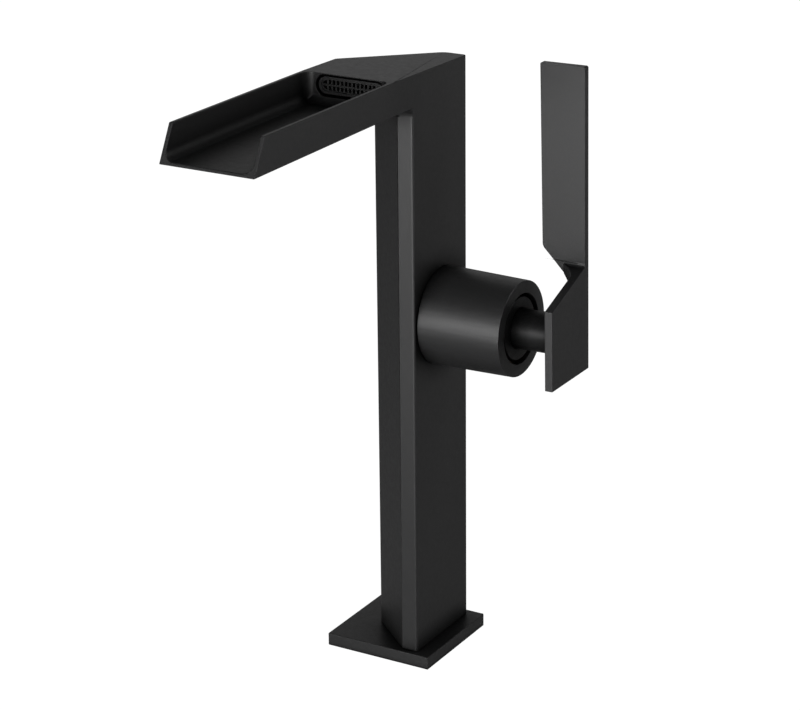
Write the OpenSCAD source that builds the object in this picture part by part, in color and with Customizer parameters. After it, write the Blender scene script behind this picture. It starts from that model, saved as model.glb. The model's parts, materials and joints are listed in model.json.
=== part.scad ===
// Tall waterfall basin mixer: square base plate, three sided column, open trough spout,
// side valve with a folded blade lever and a ceramic disc cartridge.
// The origin is the middle of the base plate's underside, +Z is up, the spout points
// to -Y and the valve to +X. Lengths are in millimetres.

/* [Base plate] */
// Width of the square base plate
plate_w = 58; // [54:0.5:70]
// Thickness of the base plate
plate_t = 6.7; // [5.5:0.1:10]
// Depth of the groove for the deck gasket
gasket_t = 2; // [1:0.1:3]
// Width of the deck gasket
gasket_w = 2.4; // [1.5:0.1:4]
// Distance of the deck gasket from the plate's edge
gasket_inset = 1.8; // [1.2:0.1:3]

/* [Column] */
// Distance of the flat valve side from the plate's middle
side_x = 21.2; // [19:0.1:24]
// Distance of the narrow front strip from the plate's middle
strip_y = 25.8; // [24:0.1:26.5]
// Width of the narrow front strip, with its corner
strip_w = 8.6; // [7:0.1:11]
// Radius between the strip and the valve side
strip_r = 1.2; // [0.8:0.1:5]
// Radius between the strip and the slanted front face
crease_r = 0.5; // [0.2:0.1:1.5]
// Distance of the back face from the plate's middle
back_y = 25.7; // [24:0.1:27]
// Width of the narrow back face
back_w = 12.1; // [10:0.1:15]
// Radius between the back face and the slanted back face
heel_r = 8; // [4:0.1:10]
// Radius between the back face and the valve side
back_r = 1.6; // [0.6:0.1:3]
// How far the rounded left edge lies from the plate's middle, to -X
apex_x = 16.3; // [15:0.1:18]
// How far the rounded left edge lies from the plate's middle, to -Y
apex_y = 1.3; // [0:0.1:3]
// Radius of the rounded left edge
apex_r = 6.5; // [4:0.1:9]
// Wall of the hollow lower column
column_wall = 3; // [2.4:0.1:3.8]

/* [Spout] */
// Height of the spout's underside above the deck
spout_z = 285.8; // [260:0.1:320]
// Width of the spout
spout_w = 49.2; // [44:0.1:56]
// Reach of the spout's lower lip from the plate's middle
reach = 159.2; // [140:0.1:190]
// Height of the spout at its tip
tip_h = 16.8; // [15:0.1:20]
// How far the tip's end face leans back
tip_rake = 8.8; // [4:0.1:14]
// Fall of the top from the tip to the channel's back wall
channel_fall = 1.0; // [0:0.1:2]
// Fall of the top from the tip to the back of the column
back_fall = 2.7; // [1:0.1:4]
// Thickness of the channel's side walls
channel_wall = 2.0; // [1.5:0.1:3]
// Thickness of the channel's floor
channel_floor = 1.5; // [1.2:0.1:2.2]
// Distance of the channel's back wall from the plate's middle
channel_back = 42.7; // [40:0.1:46]
// Radius along the channel's floor and in its back corners
channel_r = 4.8; // [2:0.1:5.4]
// Radius under the spout where it meets the column
under_r = 5; // [2:0.1:7]
// Radius of the spout's far back corner
kink_r = 3; // [1:0.1:6]

/* [Outlet] */
// Wall between the oval pit and each side of the channel
pit_side = 3.9; // [3:0.1:6]
// Height of the oval pit
pit_h = 10.4; // [9.8:0.1:10.6]
// Depth of the pit
pit_depth = 5; // [4.6:0.1:7]
// Distance of the outlet's middle from the spout's middle, to +X
outlet_shift = 1.3; // [0.8:0.1:1.6]
// Distance from the pit's lower edge to the channel floor
pit_lift = 3.3; // [3:0.1:3.5]
// Gap between the oval frame and the pit
pit_gap = 1.1; // [0.8:0.1:1.4]
// How far the oval frame lies behind the back wall
frame_recess = 0.8; // [0.4:0.1:1.5]
// Width of the oval frame's ring
frame_ring = 1.2; // [0.9:0.1:1.4]
// How far the grid lies behind the frame's front
grid_recess = 0.8; // [0.3:0.1:1.2]
// Thickness of the flow grid
grid_t = 1.5; // [1:0.1:1.8]
// Spacing of the grid's holes
grid_pitch = 2.16; // [2.1:0.01:2.2]
// Width of one hole in the grid
hole_w = 1.3; // [1:0.05:1.5]
// Height of one hole in the grid
hole_h = 2.1; // [1.6:0.05:2.2]
// Thickness of the gasket behind the frame
outlet_gasket_t = 1; // [0.6:0.1:1.2]

/* [Valve] */
// Height of the valve's axis above the deck
valve_z = 176.9; // [140:0.1:210]
// Length of the round sleeve, from the column's side
sleeve_l = 43.9; // [43:0.1:50]
// Shadow gap between the column and the sleeve
sleeve_gap = 0.4; // [0.1:0.1:0.8]
// Radius of the sleeve at the column
sleeve_r = 24.3; // [23.8:0.1:25]
// Radius of the sleeve at its open end
sleeve_end_r = 23.5; // [23.2:0.1:24.2]
// Inner radius of the sleeve
sleeve_bore_r = 21.8; // [21.6:0.1:22.2]
// Radius of the opening in the sleeve's end
mouth_r = 17.3; // [17.1:0.1:18.5]
// Thickness of the sleeve's end
mouth_t = 2; // [1.2:0.1:2.4]
// Radius of the cartridge
cartridge_r = 17.3; // [17:0.1:17.5]
// Distance from the cartridge's seat to the stem pin
cartridge_l = 31; // [30.8:0.1:33]
// Wall of the valve chamber round the cartridge
chamber_wall = 2.9; // [2.6:0.1:3.2]
// Thickness of the retaining nut's flange
nut_flange_t = 3.45; // [2.5:0.05:4]
// Size of the retaining nut across its flats
nut_flats = 36.8; // [36:0.1:37]
// Radius of the stem pin
pin_r = 1.6; // [1.2:0.1:2]
// Width of the square valve stem
stem_w = 8; // [7:0.1:8.4]
// Radius of the ball on the valve stem's inner end
ball_r = 3.4; // [2.8:0.1:3.6]
// Distance from the stem pin to the ball
arm_l = 11; // [10.4:0.1:11.4]
// How far the stem pin lies inside the sleeve's end
pivot_depth = 14.1; // [13.8:0.1:14.4]
// Opening angle of the lever, in degrees
open_deg = 23; // [18:0.5:23]
// Lean of the closed lever towards the column, in degrees
lean_deg = 0.96; // [0:0.01:2]
// Turning angle to each side from cold to hot, in degrees
turn_deg = 45; // [35:1:50]

/* [Lever] */
// Distance of the lever's outer face from the stem pin
lever_out = 40.28; // [38:0.01:46]
// Width of the lever's lower plate
lever_w = 37.94; // [32:0.1:44]
// Thickness of the lower plate
lever_t = 4; // [3.4:0.1:5]
// Distance from the valve's axis to the plate's lower edge
lever_drop = 22; // [18:0.1:26]
// Height of the slanted edge's front end above the axis
slant_front = 17.5; // [14:0.1:20]
// Height of the slanted edge's back end above the axis
slant_back = 29.84; // [26:0.1:33]
// Height of the blade's top above the axis
blade_top = 126.4; // [100:0.1:140]
// Width of the blade at its top
blade_w = 23.65; // [20:0.1:26]
// Width of the blade above its diagonal edge
blade_low_w = 23.04; // [19:0.1:25]
// Thickness of the blade at the folded edge
blade_t = 3.66; // [3:0.1:4.5]
// Thickness of the blade at its free edge
blade_free_t = 2.83; // [2:0.1:3.4]
// Height where the blade's diagonal edge leaves its free edge
diag_z = 37.2; // [34:0.1:42]
// Slope of the blade's diagonal edge, in degrees
diag_deg = 46.5; // [40:0.5:50]
// Radius of the blade's lower free corner
diag_r = 4.2; // [1:0.1:6]
// Radius of the blade's upper corners
blade_r = 1; // [0.4:0.1:3]
// Length of the fold along the plate and along the blade
fold_l = 7.5; // [4:0.1:9]
// Radius of the hollow in the fold
fold_r = 14; // [9:0.5:30]
// Radius between the slanted edge and the blade
slant_r = 2; // [0.8:0.1:3]
// Radius of the round neck behind the lever
neck_r = 9.8; // [9.4:0.1:10.3]
// Radius of the round cap on the neck
cap_r = 15.5; // [14.5:0.1:15.8]
// Thickness of the cap
cap_t = 2; // [1.4:0.1:2.4]
// How far the cap lies inside the sleeve's end
cap_recess = 0.8; // [0.4:0.1:1.4]

/* [Inlets] */
// Wall radius of the hose threads
hose_r = 4.5; // [4.3:0.1:4.8]
// Length of the hose threads
hose_l = 12; // [9:0.5:14]
// Distance of each hose thread from the middle plane
hose_y = 8.6; // [8.3:0.1:8.7]
// Wall radius of the stud threads
stud_r = 2.5; // [2:0.1:2.6]
// Length of the stud threads
stud_l = 16; // [10:0.5:20]
// Distance of each stud thread from the shank's middle
stud_x = 9.2; // [8.8:0.1:9.6]
// Radius of the shank that passes through the base plate
shank_r = 14.2; // [14:0.1:14.4]
// Height of the foot block inside the column
foot_h = 22; // [20:0.5:30]
// Outer radius of the supply tubes
tube_r = 4; // [3.8:0.05:4.1]
// Wall of the supply tubes
tube_wall = 0.8; // [0.6:0.05:1]
// How far the tubes go into their sockets
tube_in = 8; // [7:0.5:10]

/* [Hidden] */
$fn = 72;
arc_steps = 10;          // straight steps in each rounded corner of an outline
over = 1;                // overrun of cuts
bite = 0.03;             // depth that a fillet is let into its faces
fit = 0.05;              // radial gap of seated round pieces
face_gap = 0.05;         // gap between seated flat faces
slide_gap = 0.15;        // gap of pieces that slide or turn

// heights of the spout and the column
tip_z = spout_z + tip_h;
top_z = tip_z + over;
far_x = side_x - spout_w;

// corners of the column and of the spout seen from above
strip_left = [side_x - strip_w, -strip_y];
strip_right = [side_x, -strip_y];
back_right = [side_x, back_y];
back_left = [side_x - back_w, back_y];
apex = [-apex_x, -apex_y];
column_pts = [strip_left, strip_right, back_right, back_left, apex];
column_radii = [crease_r, strip_r, back_r, heel_r, apex_r];
diag_way = unit(back_left - apex);
far_back = apex + diag_way * (far_x - apex[0]) / diag_way[0];
spout_pts = [[side_x, -reach - over], back_right, back_left, far_back, [far_x, -reach - over]];
spout_radii = [0, back_r, heel_r, kink_r, 0];

// middle of the largest circle inside the column, where the shank and the water way lie
shank = inner_middle();

// outlet in the channel's back wall
floor_z = spout_z + channel_floor;
outlet_x = (side_x + far_x) / 2 + outlet_shift;
outlet_z = floor_z + pit_lift + pit_h / 2;
back_wall_y = -channel_back;
frame_front = back_wall_y + frame_recess;
frame_back = back_wall_y + pit_depth - outlet_gasket_t;
pit_w = spout_w - 2 * (channel_wall + pit_side);
frame_w = pit_w - 2 * pit_gap;
frame_h = pit_h - 2 * pit_gap;
grid_w = frame_w - 2 * frame_ring;
grid_h = frame_h - 2 * frame_ring;
grid_front = frame_front + grid_recess;
grid_cols = floor((grid_w - grid_h) / grid_pitch);
ledge_w = 0.5;           // ledge that the grid rests on
row_bar = 0.9;           // bar between the two rows of holes
cell_rim = 0.65;         // rim round the cells at both ends
passage_h = 5;           // flat water passage behind the outlet
passage_most = 24;       // its greatest width
passage_in = 4.8;        // its ends inside those of the grid
passage_w = min(passage_most, grid_w - 2 * passage_in);
duct_r = 8;              // wide upper water duct
duct_wall = 2;           // wall between that duct and the valve chamber
low_duct_r = 3.8;        // narrow duct beside the chamber

// valve stations along +X
sleeve_end = side_x + sleeve_l;
pivot_x = sleeve_end - pivot_depth;
seat_x = pivot_x - cartridge_l;
ball_x = pivot_x - arm_l;
base_lift = 0.6;         // base above its seat, room for the seals
base_x = seat_x + base_lift;
ball_cover = 1.6;        // from the ball's middle to the holder's top
holder_top = ball_x + ball_cover;
holder_t = 8;            // holder with its block
holder_flange_t = 3.6;   // its round flange
disc_t = 3.6;            // moving disc
fixed_t = 4;             // fixed disc
moving_x = holder_top - holder_t - disc_t;
fixed_x = moving_x - fixed_t;
base_top = fixed_x;
base_flange_t = 3.4;     // flange of the cartridge base
housing_x = base_x + base_flange_t;
shoulder_rise = 5.4;     // from the holder's top to the housing's shoulder
shoulder_x = holder_top + shoulder_rise;
housing_rise = 3;        // housing's neck beyond its shoulder
housing_top = shoulder_x + housing_rise;
neck_rise = 4;           // guide's neck beyond the stem pin
neck_top = pivot_x + neck_rise;
chamber_gap = 0.4;       // between the cartridge and its chamber
chamber_bore_r = cartridge_r + chamber_gap;
chamber_r = chamber_bore_r + chamber_wall;
chamber_past = 0.5;      // chamber beyond the housing's shoulder
chamber_end = shoulder_x + chamber_past;
thread_depth = 1.35;     // thread of the nut outside the bore
thread_r = chamber_bore_r + thread_depth;
thread_l = 6.5;          // its length
nut_in_r = 13.7;         // opening in the nut's flange
nut_flange_x = chamber_end + face_gap;
disc_r = 13.5;           // fixed disc
moving_r = 10.8;         // moving disc
housing_bore_r = 14.4;   // bore of the housing
guide_r = 14;            // flange of the stem guide
guide_neck_r = 10.6;     // neck of the stem guide
guide_lift = 4;          // from the moving disc to the guide's flange
guide_bottom = moving_x + disc_t + guide_lift;
guide_cover = 3;         // from the guide's flange to the housing's shoulder
guide_top = shoulder_x - guide_cover;
glide_t = 0.8;           // room for the glide ring
guide_slot_w = stem_w + 2 * slide_gap;
guide_slot_half = (arm_l - ball_r) * tan(open_deg) + stem_w / 2 / cos(open_deg) + slide_gap;
travel = arm_l * (sin(open_deg - lean_deg) + sin(lean_deg));
holder_drop = travel / 2;
ring_t = 2.5;            // limit ring
ring_tooth_deg = 7;      // half the angle of its tooth
tooth_play_deg = 1;      // free angle at each end of the tooth's groove
groove_r = 9.4;          // bottom of that groove
socket_gap = 0.12;       // between the ball and its socket
socket_r = ball_r + socket_gap;
socket_under = 0.4;      // room below the ball
arm_step = 1;            // ball outside the thin arm of the stem
pin_short = 0.4;         // pin's ends inside the guide's neck
block_y = 12;            // width of the holder's block
block_z = 14;            // height of the holder's block

// water ports of the cartridge, as [across, up] from the valve's axis
port_r = 2.9;            // inlets at the seat
seat_up = 3.5;
disc_port_r = 2.6;       // inlets at the discs
disc_port_y = 5.2;
disc_port_up = 3;
disc_pocket = 0.3;       // pocket of the moving disc wider than the ports
out_r = 3.4;             // outlet
out_down = 7.2;
out_step = 0.4;          // outlet narrower in the fixed disc
seal_w = 1.5;            // width of the port seals
seal_t = 1.7;            // their thickness

// tubes, foot and screws
tube_shift = 1.1;        // tubes beside the shank's middle, to +X
tube_x = shank[0] + tube_shift;
block_drop = 27;         // from the valve's axis to the top of the hollow column
block_bottom = valve_z - block_drop;
tube_top = block_bottom + tube_in;
tube_bottom = plate_t + foot_h - tube_in;
bore_low_r = tube_r - tube_wall;
shank_gap = 0.3;         // between the shank and the base plate
shank_lift = 0.6;        // shank's end above the deck
core_r = 11.6;           // solid core above the shank
ring_cord = 0.85;        // cord radius of the tube and base seals
screw_r = 2;             // plate screws
screw_head_r = 3.9;
screw_head_h = 2.2;
screw_l = 16;
screw_in = 6.2;          // from the valve side to the screws
screw_x = side_x - screw_in;
screw_y = 17.4;
hex_key_r = 1.35;        // hexagon sockets of all screws

// sleeve ring
cord_r = 1.05;
cord_at = 9;             // from the column's side to the ring
cord_x = side_x + cord_at;

// lever neck, plug and grub screw, as distances from the stem pin
neck_past = 1.8;         // neck beyond the back of the cap
neck_back = pivot_depth - cap_recess - cap_t - neck_past;
stem_end = 24;
grub_at = 22;
grub_r = 2.5;
grub_l = 4.6;
plug_t = 1.1;
flare = 0.8;             // widening of the neck at the lever's plate
half_lever = lever_w / 2;

function unit(v) = v / norm(v);

// one corner of an outline, rounded to radius r
function corner(a, b, c, r) =
    let (u = unit(a - b), v = unit(c - b), half = acos(u * v) / 2,
         o = b + unit(u + v) * r / sin(half),
         s = b + u * r / tan(half) - o,
         e = b + v * r / tan(half) - o,
         from = atan2(s[1], s[0]),
         turn = (atan2(e[1], e[0]) - from + 540) % 360 - 180)
    r == 0 ? [b] : [for (i = [0:arc_steps]) let (a = from + turn * i / arc_steps) o + r * [cos(a), sin(a)]];

function before(p, i) = p[(i + len(p) - 1) % len(p)];
function after(p, i) = p[(i + 1) % len(p)];

// an outline with every corner rounded to its own radius
function rounded(p, radii) =
    [for (i = [0:len(p) - 1]) each corner(before(p, i), p[i], after(p, i), radii[i])];

// an outline drawn in by d
function inset(p, d) =
    [for (i = [0:len(p) - 1])
        let (u = unit(before(p, i) - p[i]), v = unit(after(p, i) - p[i]))
        p[i] + d * (u + v) / abs(cross(u, v))];

function inset_radii(radii, d) = [for (r = radii) max(r - d, crease_r)];

// the middle of the circle that touches the valve side and both slanted faces
function inner_middle() =
    let (f = unit(strip_left - apex), b = unit(back_left - apex),
         way = unit(f + b), s = abs(cross(f, way)),
         run = (side_x - apex[0]) / (way[0] + s))
    apex + way * run;

// children along the valve's axis, with their Z as +X and their -X as +Z
module at_valve() {
    translate([0, 0, valve_z]) rotate([0, 90, 0]) children();
}

// children in the lever's own frame, with the stem pin at the origin
module at_lever() {
    translate([pivot_x, 0, valve_z]) rotate([0, -lean_deg, 0]) children();
}

module ring(r_out, r_in, h) {
    difference() {
        cylinder(h = h, r = r_out);
        translate([0, 0, -over]) cylinder(h = h + 2 * over, r = r_in);
    }
}

module cord_ring(r_mid, r_cord) {
    rotate_extrude() translate([r_mid, 0]) circle(r = r_cord, $fn = 32);
}

// an oval of full width w and height h, its depth t along +Y from y = 0
module oval(w, h, t) {
    translate([0, t, 0]) rotate([90, 0, 0]) {
        translate([-(w - h) / 2, -h / 2, 0]) cube([w - h, h, t]);
        for (s = [-1, 1]) translate([s * (w - h) / 2, 0, 0]) cylinder(h = t, r = h / 2);
    }
}

module column_solid(z0, z1, d) {
    translate([0, 0, z0]) linear_extrude(z1 - z0)
        polygon(rounded(inset(column_pts, d), inset_radii(column_radii, d)));
}

// the outline of the whole body seen from the valve side
module side_outline() {
    x0 = far_x - over;
    translate([x0, 0, 0]) rotate([90, 0, 90]) linear_extrude(side_x - x0 + over)
        polygon([[-reach, spout_z], [-reach + tip_rake, tip_z], [back_wall_y, tip_z - channel_fall],
                 [back_y, tip_z - back_fall], [back_y + over, tip_z - back_fall],
                 [back_y + over, plate_t - over], [-reach, plate_t - over]]);
}

// hollow quarter that fills the corner below the spout, let a little into both faces
module under_profile() {
    difference() {
        translate([-over, -under_r]) square([under_r + over, under_r + over]);
        translate([under_r, -under_r]) circle(r = under_r + bite);
    }
}

// a run of that corner from point a, d long, with the face's outward side to the right
module under_run(a, b) {
    way = b - a;
    translate([a[0], a[1], spout_z]) rotate([0, 0, atan2(way[1], way[0])])
        rotate([90, 0, 90]) mirror([1, 0, 0]) linear_extrude(norm(way)) under_profile();
}

// children on one side of the upright plane that runs through p along cut
module beside(p, cut, way) {
    l = spout_w;
    intersection() {
        children();
        translate([p[0], p[1], spout_z - 2 * under_r]) linear_extrude(4 * under_r)
            polygon([l * cut, -l * cut, l * (way - cut), l * (way + cut)]);
    }
}

module under_fillet() {
    f = unit(strip_left - apex);
    b = unit(back_left - apex);
    out = [f[1], -f[0]];
    half = acos(f * b) / 2;
    tangent = apex + f * apex_r / tan(half);
    middle = apex + unit(f + b) * apex_r / sin(half);
    crease_way = unit(out + [0, -1]);
    intersection() {
        translate([0, 0, spout_z - under_r]) linear_extrude(under_r + over)
            polygon(rounded(inset(spout_pts, bite), spout_radii));
        union() {
            beside(strip_left, crease_way, [1, 0]) under_run(strip_left - [under_r, 0], strip_right);
            beside(strip_left, crease_way, -f) under_run(tangent, strip_left + f * under_r);
            beside(tangent, out, -f) translate([middle[0], middle[1], spout_z]) rotate_extrude()
                translate([apex_r, 0]) under_profile();
        }
    }
}

// a rectangle w by h with two rounded corners at its low edge, from the middle of that edge
module low_round(w, h) {
    for (s = [-1, 1]) translate([s * (w / 2 - channel_r), channel_r]) circle(r = channel_r);
    translate([-w / 2 + channel_r, 0]) square([w - 2 * channel_r, h]);
    translate([-w / 2, channel_r]) square([w, h - channel_r]);
}

// the open trough, rounded along its floor and in its back corners
module channel_cut() {
    w = spout_w - 2 * channel_wall;
    l = reach + over - channel_back;
    h = tip_h + over;
    intersection() {
        translate([side_x - spout_w / 2, -reach - over, floor_z]) rotate([90, 0, 0]) mirror([0, 0, 1])
            linear_extrude(l + over) low_round(w, h);
        translate([side_x - spout_w / 2, back_wall_y, floor_z - over]) mirror([0, 1, 0])
            linear_extrude(h + 2 * over) low_round(w, l + over);
        translate([side_x - spout_w - over, back_wall_y, floor_z]) rotate([90, 0, 90])
            linear_extrude(spout_w + 2 * over) {
                translate([-channel_r, channel_r]) circle(r = channel_r);
                translate([-l - over, 0]) square([l + over - channel_r, h]);
                translate([-l - over, channel_r]) square([l + over, h - channel_r]);
            }
    }
}

module water_ways() {
    // pit, wide passage and mixed water duct
    translate([outlet_x, back_wall_y - over, outlet_z]) oval(pit_w, pit_h, pit_depth + over);
    duct_z = valve_z + chamber_bore_r + duct_wall;
    translate([outlet_x, back_wall_y, outlet_z])
        oval(passage_w, passage_h, channel_back + shank[1] - duct_r / 2);
    translate([shank[0], shank[1], duct_z]) cylinder(h = outlet_z + passage_h / 2 - duct_z, r = duct_r);
    translate([shank[0], shank[1], valve_z - out_down])
        cylinder(h = duct_z - valve_z + out_down + over, r = low_duct_r);
    at_valve() {
        translate([out_down, 0, shank[0]]) cylinder(h = seat_x - shank[0] + over, r = out_r);
        for (s = [-1, 1]) translate([-seat_up, s * hose_y, tube_x])
            cylinder(h = seat_x - tube_x + over, r = port_r);
    }
    for (s = [-1, 1]) translate([tube_x, s * hose_y, 0]) {
        translate([0, 0, tube_top]) cylinder(h = valve_z + seat_up - tube_top, r = port_r);
        translate([0, 0, block_bottom - over]) cylinder(h = tube_in + over, r = tube_r + fit);
        translate([0, 0, block_bottom + tube_in / 2 - ring_cord])
            cylinder(h = 2 * ring_cord, r = tube_r + 2 * ring_cord + 2 * fit);
    }
}

module body() {
    color([0.11, 0.11, 0.115]) difference() {
        union() {
            intersection() {
                union() {
                    column_solid(plate_t + face_gap, top_z, 0);
                    translate([0, 0, spout_z]) linear_extrude(top_z - spout_z)
                        polygon(rounded(spout_pts, spout_radii));
                    under_fillet();
                }
                side_outline();
            }
            at_valve() translate([0, 0, side_x - over])
                cylinder(h = chamber_end - side_x + over, r = chamber_r);
        }
        channel_cut();
        column_solid(plate_t - over, block_bottom, column_wall);
        water_ways();
        at_valve() {
            translate([0, 0, seat_x]) cylinder(h = chamber_end - seat_x + over, r = chamber_bore_r);
            translate([0, 0, chamber_end - thread_l]) cylinder(h = thread_l + over, r = thread_r + fit);
            translate([0, 0, cord_x - cord_r]) difference() {
                cylinder(h = 2 * cord_r, r = sleeve_bore_r + over);
                translate([0, 0, -over])
                    cylinder(h = 2 * (cord_r + over), r = sleeve_bore_r - 2 * cord_r - fit);
            }
        }
    }
}

module base_plate() {
    color([0.09, 0.09, 0.095]) difference() {
        translate([-plate_w / 2, -plate_w / 2, 0]) cube([plate_w, plate_w, plate_t]);
        translate([shank[0], shank[1], -over]) cylinder(h = plate_t + 2 * over, r = shank_r + shank_gap);
        gasket_shape(0, -over, gasket_t + face_gap);
        for (s = [-1, 1]) translate([screw_x, s * screw_y, 0]) {
            translate([0, 0, -over]) cylinder(h = plate_t + 2 * over, r = screw_r + slide_gap);
            translate([0, 0, -over]) cylinder(h = over + gasket_t, r = screw_head_r + slide_gap);
            translate([0, 0, gasket_t])
                cylinder(h = screw_head_h, r1 = screw_head_r + slide_gap, r2 = screw_r + slide_gap);
        }
    }
}

// the square ring of the gasket, from z0 up to z1, grown by d on each side
module gasket_shape(d, z0, z1) {
    outer = plate_w / 2 - gasket_inset - d;
    inner = plate_w / 2 - gasket_inset - gasket_w + d;
    translate([0, 0, z0]) difference() {
        translate([-outer, -outer, 0]) cube([2 * outer, 2 * outer, z1 - z0]);
        translate([-inner, -inner, -over]) cube([2 * inner, 2 * inner, z1 - z0 + 2 * over]);
    }
}

module deck_gasket() {
    color([0.05, 0.05, 0.05]) gasket_shape(fit, 0, gasket_t);
}

module foot_block() {
    color([0.72, 0.56, 0.28]) difference() {
        union() {
            column_solid(plate_t + face_gap, plate_t + foot_h, column_wall + fit);
            translate([shank[0], shank[1], shank_lift]) cylinder(h = plate_t - shank_lift, r = shank_r);
            translate([shank[0], shank[1], shank_lift]) cylinder(h = foot_h / 2, r = core_r);
        }
        for (s = [-1, 1]) {
            translate([tube_x, s * hose_y, 0]) {
                translate([0, 0, shank_lift - over]) cylinder(h = hose_l + over, r = hose_r);
                cylinder(h = plate_t + foot_h, r = bore_low_r);
                translate([0, 0, tube_bottom]) cylinder(h = tube_in + over, r = tube_r + fit);
                translate([0, 0, tube_bottom + tube_in / 2 - ring_cord])
                    cylinder(h = 2 * ring_cord, r = tube_r + 2 * ring_cord + 2 * fit);
            }
            translate([shank[0] + s * stud_x, shank[1], shank_lift - over])
                cylinder(h = stud_l + over, r = stud_r);
            translate([screw_x, s * screw_y, plate_t - over])
                cylinder(h = screw_l + over, r = screw_r + fit);
        }
    }
}

// the two countersunk screws that hold the base plate to the foot block
module plate_screws() {
    color([0.6, 0.6, 0.62])
        for (s = [-1, 1]) translate([screw_x, s * screw_y, gasket_t]) difference() {
            union() {
                cylinder(h = screw_head_h, r1 = screw_head_r, r2 = screw_r);
                cylinder(h = screw_l, r = screw_r);
            }
            translate([0, 0, -over]) cylinder(h = over + screw_head_h, r = hex_key_r, $fn = 6);
        }
}

module supply_tube() {
    difference() {
        cylinder(h = tube_top - tube_bottom - 2 * face_gap, r = tube_r);
        translate([0, 0, -over]) cylinder(h = tube_top - tube_bottom + 2 * over, r = bore_low_r);
    }
}

module cold_tube() {
    color([0.72, 0.45, 0.2]) translate([tube_x, -hose_y, tube_bottom + face_gap]) supply_tube();
}

module hot_tube() {
    color([0.72, 0.45, 0.2]) translate([tube_x, hose_y, tube_bottom + face_gap]) supply_tube();
}

// rings that seal the supply tubes in their four sockets
module tube_seals() {
    color([0.05, 0.05, 0.05])
        for (s = [-1, 1], z = [tube_bottom + tube_in / 2, block_bottom + tube_in / 2])
            translate([tube_x, s * hose_y, z]) cord_ring(tube_r + fit + ring_cord, ring_cord - fit);
}

module outlet_gasket() {
    color([0.05, 0.05, 0.05]) translate([outlet_x, frame_back + face_gap, outlet_z]) difference() {
        oval(frame_w, frame_h, outlet_gasket_t - 2 * face_gap);
        translate([0, -over, 0])
            oval(grid_w - 2 * ledge_w, grid_h - 2 * ledge_w, outlet_gasket_t + 2 * over);
    }
}

module outlet_frame() {
    color([0.05, 0.05, 0.05]) translate([outlet_x, frame_front, outlet_z]) difference() {
        oval(frame_w, frame_h, frame_back - frame_front);
        translate([0, -over, 0]) oval(grid_w, grid_h, over + grid_recess + grid_t + face_gap);
        translate([0, -over, 0])
            oval(grid_w - 2 * ledge_w, grid_h - 2 * ledge_w, frame_back - frame_front + 2 * over);
    }
}

// flow grid: two rows of square holes and split round cells at the ends
module outlet_grid() {
    rise = (hole_h + row_bar) / 2;
    arc_x = (grid_w - grid_h) / 2;
    cell_r = grid_h / 2 - cell_rim;
    color([0.05, 0.05, 0.05]) translate([outlet_x, grid_front, outlet_z]) difference() {
        oval(grid_w - 2 * fit, grid_h - 2 * fit, grid_t);
        for (i = [0:grid_cols - 1], s = [-1, 1])
            translate([(i - (grid_cols - 1) / 2) * grid_pitch - hole_w / 2, -over, s * rise - hole_h / 2])
                cube([hole_w, grid_t + 2 * over, hole_h]);
        for (s = [-1, 1]) intersection() {
            translate([s * arc_x, grid_t + over, 0]) rotate([90, 0, 0])
                cylinder(h = grid_t + 2 * over, r = cell_r);
            union() for (t = [-1, 1])
                translate([s * (arc_x + cell_r / 2) - cell_r / 2, -over, t * rise - hole_h / 2])
                    cube([cell_r, grid_t + 2 * over, hole_h]);
        }
    }
}

module valve_sleeve() {
    l = sleeve_l - sleeve_gap;
    color([0.11, 0.11, 0.115]) at_valve() translate([0, 0, side_x + sleeve_gap]) difference() {
        cylinder(h = l, r1 = sleeve_r, r2 = sleeve_end_r);
        translate([0, 0, -over]) cylinder(h = l - mouth_t + over, r = sleeve_bore_r);
        cylinder(h = l + over, r = mouth_r);
    }
}

module sleeve_ring() {
    color([0.05, 0.05, 0.05]) at_valve()
        translate([0, 0, cord_x]) cord_ring(sleeve_bore_r - cord_r, cord_r - fit);
}

module retaining_nut() {
    color([0.75, 0.6, 0.3]) at_valve() difference() {
        union() {
            translate([0, 0, chamber_end - thread_l + over])
                cylinder(h = thread_l - over + nut_flange_t, r = thread_r);
            translate([0, 0, nut_flange_x])
                cylinder(h = nut_flange_t, r = nut_flats / 2 / cos(30), $fn = 6);
        }
        translate([0, 0, chamber_end - thread_l])
            cylinder(h = shoulder_x + face_gap - chamber_end + thread_l, r = cartridge_r + slide_gap);
        cylinder(h = nut_flange_x + nut_flange_t + over, r = nut_in_r);
    }
}

// places of the three seat ports, as [up and down, across] in the valve frame
function seat_ports() = [[-seat_up, -hose_y, port_r], [-seat_up, hose_y, port_r], [out_down, 0, out_r]];

module port_seals() {
    color([0.06, 0.06, 0.06]) at_valve() for (p = seat_ports())
        translate([p[0], p[1], seat_x + face_gap]) ring(p[2] + seal_w, p[2], seal_t - 2 * face_gap);
}

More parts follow.
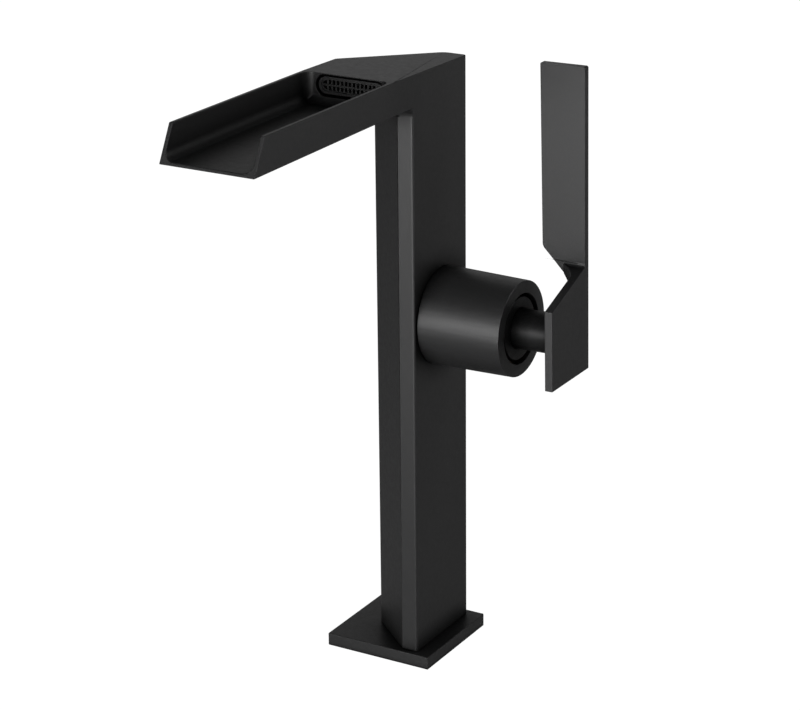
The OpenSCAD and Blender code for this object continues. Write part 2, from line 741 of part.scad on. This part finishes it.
module cartridge_base() {
    step = base_top - base_x;
    color([0.85, 0.85, 0.82]) at_valve() translate([0, 0, base_x]) difference() {
        union() {
            cylinder(h = base_flange_t, r = cartridge_r);
            cylinder(h = step, r = housing_bore_r - fit);
        }
        for (p = seat_ports()) translate([p[0], p[1], -over])
            cylinder(h = seal_t - base_lift + over, r = p[2] + seal_w + fit);
        translate([out_down, 0, -over]) cylinder(h = step + 2 * over, r = out_r);
        for (s = [-1, 1]) {
            translate([-seat_up, s * hose_y, -over]) cylinder(h = step / 2 + over, r = port_r);
            translate([-disc_port_up, s * disc_port_y, step / 2 - over])
                cylinder(h = step / 2 + 2 * over, r = disc_port_r);
            translate([-seat_up, s * hose_y, step / 2 - over]) cylinder(h = 2 * over, r = port_r);
            translate([-seat_up - disc_port_r / 2, min(s * disc_port_y, s * hose_y), step / 2 - over])
                cube([disc_port_r, hose_y - disc_port_y, 2 * over]);
        }
        translate([0, 0, base_flange_t / 2]) difference() {
            cylinder(h = 2 * ring_cord, r = cartridge_r + over, center = true);
            cylinder(h = 2 * (ring_cord + over), r = chamber_bore_r - 2 * ring_cord - fit, center = true);
        }
    }
}

module base_seal() {
    color([0.05, 0.05, 0.05]) at_valve() translate([0, 0, base_x + base_flange_t / 2])
        cord_ring(chamber_bore_r - ring_cord, ring_cord - fit);
}

module cartridge_housing() {
    color([0.9, 0.9, 0.88]) at_valve() difference() {
        union() {
            translate([0, 0, housing_x + face_gap])
                cylinder(h = shoulder_x - housing_x - face_gap, r = cartridge_r);
            translate([0, 0, shoulder_x - over])
                cylinder(h = housing_top - shoulder_x + over, r = nut_in_r - slide_gap);
        }
        translate([0, 0, housing_x - over])
            cylinder(h = guide_top + glide_t - housing_x + over, r = housing_bore_r);
        translate([0, 0, housing_x]) cylinder(h = housing_top, r = guide_neck_r + slide_gap);
    }
}

module fixed_disc() {
    color([0.92, 0.9, 0.86]) at_valve() translate([0, 0, fixed_x + face_gap]) difference() {
        cylinder(h = fixed_t - 2 * face_gap, r = disc_r);
        for (s = [-1, 1]) translate([-disc_port_up, s * disc_port_y, -over])
            cylinder(h = fixed_t + 2 * over, r = disc_port_r);
        translate([out_down, 0, -over]) cylinder(h = fixed_t + 2 * over, r = out_r - out_step);
    }
}

// the moving disc, with the pocket that joins the inlets to the outlet when it is raised
module moving_disc() {
    pocket_r = disc_port_r + disc_pocket;
    color([0.95, 0.94, 0.9]) at_valve() translate([0, 0, moving_x]) difference() {
        translate([holder_drop, 0, 0]) cylinder(h = disc_t - face_gap, r = moving_r);
        translate([disc_port_up, 0, -over]) {
            for (s = [-1, 1]) translate([0, s * disc_port_y, 0])
                cylinder(h = disc_t / 2 + over, r = pocket_r);
            translate([-pocket_r, -disc_port_y, 0])
                cube([2 * pocket_r, 2 * disc_port_y, disc_t / 2 + over]);
        }
        translate([out_down, 0, -over]) cylinder(h = disc_t / 2 + over, r = out_r + disc_pocket);
    }
}

// the holder that carries the moving disc and takes the ball of the stem
module disc_holder() {
    ball_up = arm_l * sin(lean_deg);
    color([0.25, 0.4, 0.6]) at_valve() translate([0, 0, moving_x + disc_t]) difference() {
        union() {
            translate([holder_drop, 0, 0]) cylinder(h = holder_flange_t, r = moving_r);
            translate([holder_drop - block_z / 2, -block_y / 2, 0]) cube([block_z, block_y, holder_t]);
        }
        translate([ball_up, 0, holder_t - ball_cover - socket_r - socket_under])
            cylinder(h = holder_t, r = socket_r);
    }
}

module stem_guide() {
    wide = block_y + 2 * slide_gap;
    long = block_z + travel + 4 * slide_gap;
    color([0.2, 0.2, 0.22]) at_valve() difference() {
        union() {
            translate([0, 0, guide_bottom]) cylinder(h = guide_top - guide_bottom, r = guide_r);
            translate([0, 0, guide_bottom]) cylinder(h = neck_top - guide_bottom, r = guide_neck_r);
        }
        translate([-long / 2, -wide / 2, guide_bottom - over])
            cube([long, wide, holder_top + 4 * slide_gap - guide_bottom + over]);
        translate([-guide_slot_half, -guide_slot_w / 2, guide_bottom])
            cube([2 * guide_slot_half, guide_slot_w, neck_top - guide_bottom + over]);
        translate([0, 0, pivot_x]) rotate([90, 0, 0])
            cylinder(h = 2 * (guide_r + over), r = pin_r + fit, center = true);
        // groove that the stop tooth of the limit ring runs in
        translate([0, 0, housing_top]) intersection() {
            ring(guide_neck_r + over, groove_r, ring_t + slide_gap);
            linear_extrude(ring_t + slide_gap)
                polygon(sector(guide_neck_r + 2 * over, turn_deg + ring_tooth_deg + tooth_play_deg));
        }
    }
}

// a sector from the middle, half angle a each side
function sector(r, a) =
    let (long_r = r / cos(a / arc_steps / 2))
    [[0, 0], for (i = [-arc_steps:arc_steps]) long_r * [cos(a * i / arc_steps), sin(a * i / arc_steps)]];

module glide_ring() {
    color([0.9, 0.9, 0.9]) at_valve() translate([0, 0, guide_top + slide_gap / 2])
        ring(guide_r, guide_neck_r + slide_gap, glide_t - slide_gap);
}

module stem_pin() {
    color([0.75, 0.75, 0.78]) at_valve() translate([0, 0, pivot_x]) rotate([90, 0, 0])
        cylinder(h = 2 * (guide_neck_r - pin_short), r = pin_r, center = true);
}

module limit_ring() {
    color([0.7, 0.2, 0.15]) at_valve() translate([0, 0, housing_top + face_gap]) {
        ring(nut_in_r - 3 * slide_gap, guide_neck_r + slide_gap, ring_t - face_gap);
        intersection() {
            ring(guide_neck_r + slide_gap + fit, groove_r + slide_gap, ring_t - face_gap);
            linear_extrude(ring_t) polygon(sector(guide_neck_r + over, ring_tooth_deg));
        }
    }
}

module valve_stem() {
    color([0.78, 0.65, 0.35]) at_lever() difference() {
        union() {
            translate([-arm_l, 0, 0]) sphere(r = ball_r);
            translate([-arm_l, 0, 0]) rotate([0, 90, 0]) cylinder(h = arm_l, r = ball_r - arm_step);
            translate([ball_r - arm_l, -stem_w / 2, -stem_w / 2])
                cube([stem_end + arm_l - ball_r, stem_w, stem_w]);
        }
        rotate([90, 0, 0]) cylinder(h = stem_w + 2 * over, r = pin_r + fit, center = true);
    }
}

module lever_cap() {
    color([0.08, 0.08, 0.085]) at_lever()
        translate([pivot_depth - cap_recess - cap_t, 0, 0]) rotate([0, 90, 0])
            ring(cap_r, neck_r + fit, cap_t);
}

// the blade's outline in its own plane, as [outwards, up]
function blade_pts() =
    [[lever_out, diag_z - blade_low_w * tan(diag_deg)], [lever_out, blade_top],
     [lever_out - blade_w, blade_top], [lever_out - blade_low_w, diag_z]];

// everything that the blade and its fold may fill
module blade_keep() {
    translate([0, half_lever, 0]) rotate([90, 0, 0]) linear_extrude(blade_t + fold_l + over)
        polygon(rounded(blade_pts(), [0, blade_r, blade_r, diag_r]));
}

// outline of the lower plate, as [across, up]
function plate_pts() =
    let (rise = (slant_back - slant_front) / (lever_w - blade_t))
    [[-half_lever, -lever_drop], [half_lever, -lever_drop], [half_lever, slant_front + rise * lever_w],
     [-half_lever, slant_front]];

module lever() {
    inner = lever_out - lever_t;
    face = half_lever - blade_t;
    taper = atan2(blade_t - blade_free_t, blade_w);
    rise_deg = atan2(slant_back - slant_front, lever_w - blade_t);
    slant_run = slant_r * tan(45 - rise_deg / 2);
    foot = slant_run * [cos(rise_deg), sin(rise_deg)];
    fold_at = (fold_l + sqrt(2 * fold_r * fold_r - fold_l * fold_l)) / 2;
    color([0.11, 0.11, 0.115]) at_lever() difference() {
        union() {
            // lower plate with its slanted edge
            translate([inner, 0, 0]) rotate([90, 0, 90]) linear_extrude(lever_t) polygon(plate_pts());
            // blade, thinner towards its free edge
            intersection() {
                blade_keep();
                translate([lever_out, face, -lever_drop]) rotate([0, 0, -taper])
                    translate([-blade_w - over, 0, 0])
                        cube([blade_w + 2 * over, 2 * blade_t, blade_top + lever_drop]);
            }
            // hollow fold between the plate and the blade, below the slanted edge
            intersection() {
                blade_keep();
                translate([inner - fold_l, 0, 0]) rotate([90, 0, 90])
                    linear_extrude(fold_l + over) polygon(plate_pts());
                difference() {
                    translate([inner - fold_l, face - fold_l, -lever_drop])
                        cube([fold_l + over, fold_l + over, slant_back + lever_drop + over]);
                    translate([inner - fold_at, face - fold_at, -lever_drop - over])
                        cylinder(h = slant_back + lever_drop + 3 * over, r = fold_r);
                }
            }
            // small round between the slanted edge and the blade
            translate([inner, face, slant_back]) rotate([90, 0, 90]) linear_extrude(lever_t) difference() {
                polygon([[over, slant_run], [over, -over], [-foot[0], -foot[1] - over],
                         [-foot[0], -foot[1]], [-slant_r, slant_run]]);
                translate([-slant_r, slant_run]) circle(r = slant_r);
            }
            // neck with a small flare at the plate
            translate([neck_back, 0, 0]) rotate([0, 90, 0])
                cylinder(h = inner - neck_back + over, r = neck_r);
            translate([inner - flare, 0, 0]) rotate([0, 90, 0])
                cylinder(h = flare + over, r1 = neck_r, r2 = neck_r + flare + over);
        }
        // square socket for the stem and the hole for its screw
        translate([neck_back - over, -stem_w / 2 - fit, -stem_w / 2 - fit])
            cube([stem_end - neck_back + over + slide_gap, stem_w + 2 * fit, stem_w + 2 * fit]);
        translate([grub_at, 0, -neck_r - over]) cylinder(h = neck_r + over, r = grub_r);
    }
}

module grub_screw() {
    color([0.6, 0.6, 0.62]) at_lever()
        translate([grub_at, 0, -stem_w / 2 - face_gap - grub_l]) difference() {
            cylinder(h = grub_l, r = grub_r - fit);
            translate([0, 0, -over]) cylinder(h = over + grub_l / 2, r = hex_key_r, $fn = 6);
        }
}

module screw_plug() {
    color([0.1, 0.1, 0.1]) at_lever() intersection() {
        translate([grub_at, 0, -neck_r]) cylinder(h = plug_t, r = grub_r - fit);
        rotate([0, 90, 0]) cylinder(h = lever_out, r = neck_r);
    }
}

body();
base_plate();
deck_gasket();
foot_block();
plate_screws();
cold_tube();
hot_tube();
tube_seals();
outlet_gasket();
outlet_frame();
outlet_grid();
valve_sleeve();
sleeve_ring();
retaining_nut();
port_seals();
cartridge_base();
base_seal();
cartridge_housing();
fixed_disc();
moving_disc();
disc_holder();
stem_guide();
glide_ring();
stem_pin();
limit_ring();
valve_stem();
lever_cap();
lever();
grub_screw();
screw_plug();
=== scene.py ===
import json
import math

import bmesh
import bpy
from mathutils import Matrix, Vector

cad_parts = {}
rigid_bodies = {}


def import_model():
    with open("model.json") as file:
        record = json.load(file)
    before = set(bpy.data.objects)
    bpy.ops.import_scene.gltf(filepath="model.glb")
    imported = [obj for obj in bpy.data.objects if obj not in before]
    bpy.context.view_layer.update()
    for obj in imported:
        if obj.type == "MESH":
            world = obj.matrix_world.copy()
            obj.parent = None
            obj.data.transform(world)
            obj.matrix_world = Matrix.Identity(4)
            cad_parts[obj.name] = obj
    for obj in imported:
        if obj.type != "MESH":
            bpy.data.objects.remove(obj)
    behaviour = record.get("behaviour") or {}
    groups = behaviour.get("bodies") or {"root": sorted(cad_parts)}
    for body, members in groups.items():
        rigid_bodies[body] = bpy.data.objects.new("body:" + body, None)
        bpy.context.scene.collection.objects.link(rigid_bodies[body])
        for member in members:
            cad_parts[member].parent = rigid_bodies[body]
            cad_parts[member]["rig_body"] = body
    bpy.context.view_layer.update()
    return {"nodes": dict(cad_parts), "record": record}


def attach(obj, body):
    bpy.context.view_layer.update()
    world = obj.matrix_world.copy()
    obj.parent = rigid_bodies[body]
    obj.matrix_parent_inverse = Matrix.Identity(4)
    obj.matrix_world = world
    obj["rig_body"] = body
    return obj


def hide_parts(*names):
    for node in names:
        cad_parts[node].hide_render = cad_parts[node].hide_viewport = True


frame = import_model()
scene = bpy.context.scene
scene.view_settings.view_transform = "Standard"
print("frame loaded")

camera = {
    "turn": 30.5403,        # degrees round +Z from the front
    "down": 20.1456,        # degrees that it looks down
    "roll": 0.5955,         # degrees
    "place": (0.62767, -1.06764, 0.60650),
    "lens": 120.98,
    "sensor": 36,
    "near": 0.05,
    "far": 20,
}


def placeCamera(c):
    turn, down, roll = (math.radians(c[k]) for k in ("turn", "down", "roll"))
    look = Vector((-math.sin(turn) * math.cos(down), math.cos(turn) * math.cos(down), -math.sin(down)))
    right = Vector((math.cos(turn), math.sin(turn), 0))
    below = look.cross(right)
    rolledRight = math.cos(roll) * right + math.sin(roll) * below
    rolledBelow = -math.sin(roll) * right + math.cos(roll) * below
    data = bpy.data.cameras.new("photoCamera")
    data.lens = c["lens"]
    data.sensor_width = c["sensor"]
    data.clip_start, data.clip_end = c["near"], c["far"]
    cam = bpy.data.objects.new("photoCamera", data)
    scene.collection.objects.link(cam)
    facing = Matrix((rolledRight, -rolledBelow, -look)).transposed().to_4x4()
    cam.matrix_world = Matrix.Translation(c["place"]) @ facing
    scene.camera = cam


placeCamera(camera)


def newMaterial(name):
    m = bpy.data.materials.new(name)
    m.use_nodes = True
    return m, m.node_tree.nodes, m.node_tree.links, m.node_tree.nodes["Principled BSDF"]


def addNoise(nodes, links, scale, detail):
    where = nodes.new("ShaderNodeTexCoord")
    noise = nodes.new("ShaderNodeTexNoise")
    noise.inputs["Scale"].default_value = scale
    noise.inputs["Detail"].default_value = detail
    links.new(where.outputs["Object"], noise.inputs["Vector"])
    return noise


def addBump(nodes, links, noise, strength, height):
    bump = nodes.new("ShaderNodeBump")
    bump.inputs["Strength"].default_value = strength
    bump.inputs["Distance"].default_value = height
    links.new(noise.outputs["Fac"], bump.inputs["Height"])
    return bump


powder = {
    "dark": (0.009, 0.009, 0.0093, 1),
    "light": (0.015, 0.015, 0.0153, 1),
    "darkAt": 0.35,         # noise values at which the two tones are reached
    "lightAt": 0.7,
    "rough": 0.42,
    "smoother": 0.06,       # how far the waves take the roughness down
    "rougher": 0.08,        # and up
    "grain": 2600,          # grains per metre
    "grainDetail": 3,
    "grainBump": 0.22,
    "grainHeight": 0.0002,
    "waves": 420,           # slow waves of the sprayed coat, per metre
    "waveDetail": 2,
    "waveShare": 0.3,       # of the grain's bump
    "waveHeight": 0.0004,
    "reach": 0.012,         # metres from a crease over which painted shade darkens the coat
    "shadeReachUp": 0.012,       # the painted shade's reach on faces that look up
    "shadeDeepAt": 0.45,         # openness at which the painted shade of a crease is at its darkest
    "shadeDeepShare": 0.15,      # share of colour and gloss left there under the painted shade
    "samples": 6,
    "specular": 0.5,
}
# copy of the coat whose painted shade reaches far on faces that look up and little elsewhere
plateShadePowder = {**powder, "reach": 0.003, "shadeReachUp": 0.06, "shadeDeepAt": 0.38}
# copy of the coat whose painted shade reaches further from creases and goes darker there
leverShadePowder = {**powder, "reach": 0.022, "shadeReachUp": 0.022, "shadeDeepAt": 0.58, "shadeDeepShare": 0.1}


def paintedShadeShare(nodes, links, p):
    # painted shade: how much of the coat's colour and gloss is left at a place that other faces stand
    # close to
    face = nodes.new("ShaderNodeNewGeometry")
    split = nodes.new("ShaderNodeSeparateXYZ")
    reach = nodes.new("ShaderNodeMapRange")
    reach.inputs["To Min"].default_value = p["reach"]
    reach.inputs["To Max"].default_value = p["shadeReachUp"]
    crease = nodes.new("ShaderNodeAmbientOcclusion")
    crease.samples = p["samples"]
    left = nodes.new("ShaderNodeMapRange")
    left.inputs["From Min"].default_value = p["shadeDeepAt"]
    left.inputs["To Min"].default_value = p["shadeDeepShare"]
    links.new(face.outputs["Normal"], split.inputs["Vector"])
    links.new(split.outputs["Z"], reach.inputs["Value"])
    links.new(reach.outputs["Result"], crease.inputs["Distance"])
    links.new(crease.outputs["AO"], left.inputs["Value"])
    return left.outputs["Result"]


def powderCoat(name, p):
    m, nodes, links, shader = newMaterial(name)
    grain = addNoise(nodes, links, p["grain"], p["grainDetail"])
    waves = addNoise(nodes, links, p["waves"], p["waveDetail"])
    left = paintedShadeShare(nodes, links, p)
    tone = nodes.new("ShaderNodeValToRGB")
    tone.color_ramp.elements[0].position = p["darkAt"]
    tone.color_ramp.elements[0].color = p["dark"]
    tone.color_ramp.elements[1].position = p["lightAt"]
    tone.color_ramp.elements[1].color = p["light"]
    # painted shade: the coat's colour is multiplied down in creases
    dim = nodes.new("ShaderNodeMix")
    dim.data_type = "RGBA"
    dim.blend_type = "MULTIPLY"
    dim.inputs[0].default_value = 1.0
    links.new(grain.outputs["Fac"], tone.inputs["Fac"])
    links.new(tone.outputs["Color"], dim.inputs[6])        # 6, 7 and 2 are the colour sockets
    links.new(left, dim.inputs[7])
    links.new(dim.outputs[2], shader.inputs["Base Color"])
    # painted shade: the gloss is taken down in creases as well
    gloss = nodes.new("ShaderNodeMath")
    gloss.operation = "MULTIPLY"
    gloss.inputs[1].default_value = p["specular"]
    links.new(left, gloss.inputs[0])
    links.new(gloss.outputs["Value"], shader.inputs["Specular IOR Level"])
    rough = nodes.new("ShaderNodeMapRange")
    rough.inputs["To Min"].default_value = p["rough"] - p["smoother"]
    rough.inputs["To Max"].default_value = p["rough"] + p["rougher"]
    links.new(waves.outputs["Fac"], rough.inputs["Value"])
    links.new(rough.outputs["Result"], shader.inputs["Roughness"])
    waveBump = addBump(nodes, links, waves, p["grainBump"] * p["waveShare"], p["waveHeight"])
    grainBump = addBump(nodes, links, grain, p["grainBump"], p["grainHeight"])
    links.new(waveBump.outputs["Normal"], grainBump.inputs["Normal"])
    links.new(grainBump.outputs["Normal"], shader.inputs["Normal"])
    return m


plain = {
    "metal": 0.0,
    "bump": 0.1,
    "height": 0.0002,
    "detail": 2,
}
rubber = {**plain, "dark": (0.012, 0.012, 0.012), "light": (0.022, 0.022, 0.022),
          "rough": 0.6, "grain": 900}
blackPlastic = {**plain, "dark": (0.006, 0.006, 0.006), "light": (0.012, 0.012, 0.012),
                "rough": 0.38, "grain": 1200}
whitePlastic = {**plain, "dark": (0.72, 0.72, 0.7), "light": (0.82, 0.82, 0.8),
                "rough": 0.45, "grain": 800}
bluePlastic = {**plain, "dark": (0.05, 0.12, 0.28), "light": (0.08, 0.16, 0.34),
               "rough": 0.45, "grain": 800}
redPlastic = {**plain, "dark": (0.38, 0.03, 0.02), "light": (0.5, 0.05, 0.04),
              "rough": 0.45, "grain": 800}
ceramic = {**plain, "dark": (0.78, 0.77, 0.72), "light": (0.86, 0.85, 0.8),
           "rough": 0.15, "grain": 500, "bump": 0.02}
metal = {**plain, "metal": 1.0, "bump": 0.05}
brass = {**metal, "dark": (0.55, 0.38, 0.13), "light": (0.72, 0.52, 0.22),
         "rough": 0.32, "grain": 700}
steel = {**metal, "dark": (0.42, 0.42, 0.44), "light": (0.6, 0.6, 0.62),
         "rough": 0.35, "grain": 900}


def plainStuff(name, p):
    m, nodes, links, shader = newMaterial(name)
    grain = addNoise(nodes, links, p["grain"], p["detail"])
    tone = nodes.new("ShaderNodeValToRGB")
    tone.color_ramp.elements[0].color = (*p["dark"], 1)
    tone.color_ramp.elements[1].color = (*p["light"], 1)
    dent = addBump(nodes, links, grain, p["bump"], p["height"])
    links.new(grain.outputs["Fac"], tone.inputs["Fac"])
    links.new(tone.outputs["Color"], shader.inputs["Base Color"])
    links.new(dent.outputs["Normal"], shader.inputs["Normal"])
    shader.inputs["Roughness"].default_value = p["rough"]
    shader.inputs["Metallic"].default_value = p["metal"]
    return m


finishes = {
    "painted_black": powderCoat("blackPowderCoat", powder),
    "black_rubber": plainStuff("blackRubber", rubber),
    "brass": plainStuff("turnedBrass", brass),
    "steel": plainStuff("zincedSteel", steel),
    "black_plastic": plainStuff("blackPlastic", blackPlastic),
    "white_plastic": plainStuff("whitePlastic", whitePlastic),
    "blue_plastic": plainStuff("bluePlastic", bluePlastic),
    "red_plastic": plainStuff("redPlastic", redPlastic),
    "ceramic": plainStuff("polishedCeramic", ceramic),
}
slots = {row["node"]: row["material_slot"] for row in frame["record"]["subparts"]}

for nodeName in slots:
    node = frame["nodes"][nodeName]
    node.data.materials.clear()
    node.data.materials.append(finishes[slots[nodeName]])
print("materials made")

soft = {
    "weld": 2e-6,           # metres between points that are one
    "flat": 0.6,            # degrees up to which faces count as one
    "sharp": 28,            # degrees from which an edge is rounded
    "segments": 3,
    "profile": 0.5,
    "hard": 24,             # degrees from which the shading breaks
}


def inPlain(edge, e):
    # an edge wholly inside this box keeps its shape
    if "plain" not in e:
        return False
    low, high = e["plain"]
    return all(low[k] < v.co[k] < high[k] for v in edge.verts for k in range(3))


def softCopy(nodeName, e, coat, addMore=None):
    node = frame["nodes"][nodeName]
    bm = bmesh.new()
    bm.from_mesh(node.data)
    bmesh.ops.remove_doubles(bm, verts=bm.verts, dist=soft["weld"])
    bmesh.ops.dissolve_limit(bm, angle_limit=math.radians(soft["flat"]), use_dissolve_boundaries=False,
                             verts=bm.verts, edges=bm.edges, delimit=set())
    bm.normal_update()
    sharp = [x for x in bm.edges if len(x.link_faces) == 2
             and x.calc_face_angle(0) > math.radians(soft["sharp"])
             and x.calc_length() > e["shortest"] and not inPlain(x, e)]
    print(nodeName, "faces", len(bm.faces), "sharp edges", len(sharp))
    bmesh.ops.bevel(bm, geom=sharp, offset=e["radius"], offset_type="OFFSET", affect="EDGES",
                    segments=soft["segments"], profile=soft["profile"], clamp_overlap=False,
                    loop_slide=True, miter_outer="SHARP", miter_inner="SHARP")
    if addMore:
        addMore(bm, e)
        bmesh.ops.recalc_face_normals(bm, faces=bm.faces)
    for f in bm.faces:
        f.smooth = True
    mesh = bpy.data.meshes.new(nodeName + "Soft")
    bm.to_mesh(mesh)
    bm.free()
    mesh.set_sharp_from_angle(angle=math.radians(soft["hard"]))
    mesh.materials.append(coat)
    piece = bpy.data.objects.new(nodeName + "Soft", mesh)
    scene.collection.objects.link(piece)
    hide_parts(nodeName)
    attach(piece, node["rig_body"])
    evenLight = piece.modifiers.new("evenLight", "WEIGHTED_NORMAL")
    evenLight.keep_sharp = True


bodyEdges = {
    "radius": 0.0004,
    "shortest": 0.0,        # shorter edges stay sharp
    "plain": ((0.0202, -0.0310, 0.2805), (0.0213, -0.0245, 0.2860)),    # end of the round under the spout
}
softCopy("body", bodyEdges, finishes["painted_black"])

plateEdges = {
    "radius": 0.00045,
    "shortest": 0.0012,
}
softCopy("base_plate", plateEdges, powderCoat("blackCoatPlatePaintedShade", plateShadePowder))

sleeveEdges = {
    "radius": 0.0004,
    "shortest": 0.0,
}
softCopy("valve_sleeve", sleeveEdges, finishes["painted_black"])

leverEdges = {
    "radius": 0.0004,
    "shortest": 0.0008,
    "plain": ((0.0785, 0.0135, 0.2060), (0.0872, 0.0160, 0.2095)),      # the fold's corner
    "round": 0.002,         # hollow round between the slanted edge and the blade
    "ends": 0.0035,         # length over which it fades out at the blade's free side
    "past": 0.0002,         # how far it runs on past the corner
    "sunk": 1e-4,           # how deep its root lies in the lever
    "proud": 1e-5,          # how far it stands over the faces that it joins
    "steps": 8,
    "stations": 14,
}


def foldRound(bm, e):
    corner = max((x for x in bm.edges if inPlain(x, e) and not x.is_convex and len(x.link_faces) == 2),
                 key=lambda x: x.calc_length())
    a, b = sorted((v.co.copy() for v in corner.verts), key=lambda c: c.x)
    up, front = sorted((f.normal.copy() for f in corner.link_faces), key=lambda n: -n.z)
    along = (b - a).normalized()
    away = along.cross(up)
    away *= 1 if away.dot(front) > 0 else -1
    rings = []
    for i in range(e["stations"] + 1):
        at = a.lerp(b + along * e["past"], i / e["stations"])
        share = min(1, (at - a).length / e["ends"])
        r = e["round"] * (share * share * (3 - 2 * share)) + e["proud"]
        reach = r * math.tan(up.angle(front) / 2)
        middle = at + away * reach + up * r
        ring = [bm.verts.new(at - e["sunk"] * (up + front))]
        for k in range(e["steps"] + 1):
            way = (-up).slerp(-front, k / e["steps"])
            ring.append(bm.verts.new(middle + way * (r + e["proud"])))
        rings.append(ring)
    n = len(rings[0])
    for q, p in zip(rings, rings[1:]):
        for k in range(n):
            bm.faces.new((q[k], q[(k + 1) % n], p[(k + 1) % n], p[k]))
    bm.faces.new(rings[0])
    bm.faces.new(reversed(rings[-1]))


softCopy("lever", leverEdges, powderCoat("blackCoatLeverPaintedShade", leverShadePowder), foldRound)

capEdges = {
    "radius": 0.0006,
    "shortest": 0.0,
}
softCopy("lever_cap", capEdges, powderCoat("blackCoatCapPaintedShade", leverShadePowder))
print("soft edges made")

lampAim = (0, -0.03, 0.17)
lamps = {
    "frontMid": {"at": (-0.1, -1.4, 0.1), "size": 0.8, "power": 22.8},         # strip, neck and blade
    "frontFarLeft": {"at": (-0.95, -1.15, 0.15), "size": 0.5, "power": 2.9},   # blade
    "frontLeft": {"at": (-0.75, -1.3, 0.32), "size": 0.4, "power": 0.4},
    "frontRight": {"at": (0.5, -1.3, 0.25), "size": 1.15, "power": 13.8},      # neck, blade and side
    "rightLow": {"at": (1.1, 0.1, 0.05), "size": 0.6, "power": 1.75},
    "rightFar": {"at": (1.6, 0.8, 0.35), "size": 1.2, "power": 4.4},           # side
    "backMid": {"at": (0.1, 1.6, 0.1), "size": 0.7, "power": 2.2},             # back
    "backHigh": {"at": (-0.8, 1.3, 0.9), "size": 1.4, "power": 2.4},           # tops
    "rims": {"at": (1.1, 0.45, 1.2), "size": 0.35, "power": 4},                # upper edges and side
}


def addLamp(name, s):
    data = bpy.data.lights.new(name, "AREA")
    data.size = s["size"]
    data.energy = s["power"]
    lamp = bpy.data.objects.new(name, data)
    scene.collection.objects.link(lamp)
    lamp.location = s["at"]
    lamp.rotation_mode = "QUATERNION"
    lamp.rotation_quaternion = (Vector(lampAim) - Vector(s["at"])).to_track_quat("-Z", "Y")


for lampName in lamps:
    addLamp(lampName + "Lamp", lamps[lampName])

room = {
    "light": 0.01,
    "seen": (1, 1, 1, 1),   # what the camera sees behind the floor
}


def makeWorld(s):
    w = bpy.data.worlds.new("paleRoom")
    scene.world = w
    w.use_nodes = True
    nodes, links = w.node_tree.nodes, w.node_tree.links
    nodes.clear()
    out = nodes.new("ShaderNodeOutputWorld")
    path = nodes.new("ShaderNodeLightPath")
    light = nodes.new("ShaderNodeBackground")
    light.inputs["Strength"].default_value = s["light"]
    seen = nodes.new("ShaderNodeBackground")
    seen.inputs["Color"].default_value = s["seen"]
    mix = nodes.new("ShaderNodeMixShader")
    links.new(path.outputs["Is Camera Ray"], mix.inputs[0])
    links.new(light.outputs[0], mix.inputs[1])
    links.new(seen.outputs[0], mix.inputs[2])
    links.new(mix.outputs[0], out.inputs["Surface"])


makeWorld(room)

paleFloor = {
    "size": 6.0,
    "drop": 0.0004,         # below the deck's height, so that it doesn't touch the plate
    "tone": (0.4, 0.4, 0.4, 1),
    "rough": 0.9,
    "glow": 1.2,
    "seenShare": 0.85,      # share of the glow that the camera sees
}


def makeFloor(s):
    bm = bmesh.new()
    h = s["size"] / 2
    bm.faces.new([bm.verts.new((x, y, 0)) for x, y in ((-h, -h), (h, -h), (h, h), (-h, h))])
    mesh = bpy.data.meshes.new("floor")
    bm.to_mesh(mesh)
    bm.free()
    floor = bpy.data.objects.new("floor", mesh)
    scene.collection.objects.link(floor)
    floor.location.z = -s["drop"]
    m, nodes, links, shader = newMaterial("paleFloor")
    shader.inputs["Base Color"].default_value = s["tone"]
    shader.inputs["Roughness"].default_value = s["rough"]
    path = nodes.new("ShaderNodeLightPath")
    glow = nodes.new("ShaderNodeEmission")
    glow.inputs["Strength"].default_value = s["glow"]
    part = nodes.new("ShaderNodeMath")
    part.operation = "MULTIPLY"
    part.inputs[1].default_value = s["seenShare"]
    mix = nodes.new("ShaderNodeMixShader")
    links.new(path.outputs["Is Camera Ray"], part.inputs[0])
    links.new(part.outputs[0], mix.inputs[0])
    links.new(shader.outputs[0], mix.inputs[1])
    links.new(glow.outputs[0], mix.inputs[2])
    links.new(mix.outputs[0], nodes["Material Output"].inputs["Surface"])
    mesh.materials.append(m)


makeFloor(paleFloor)
print("studio made")
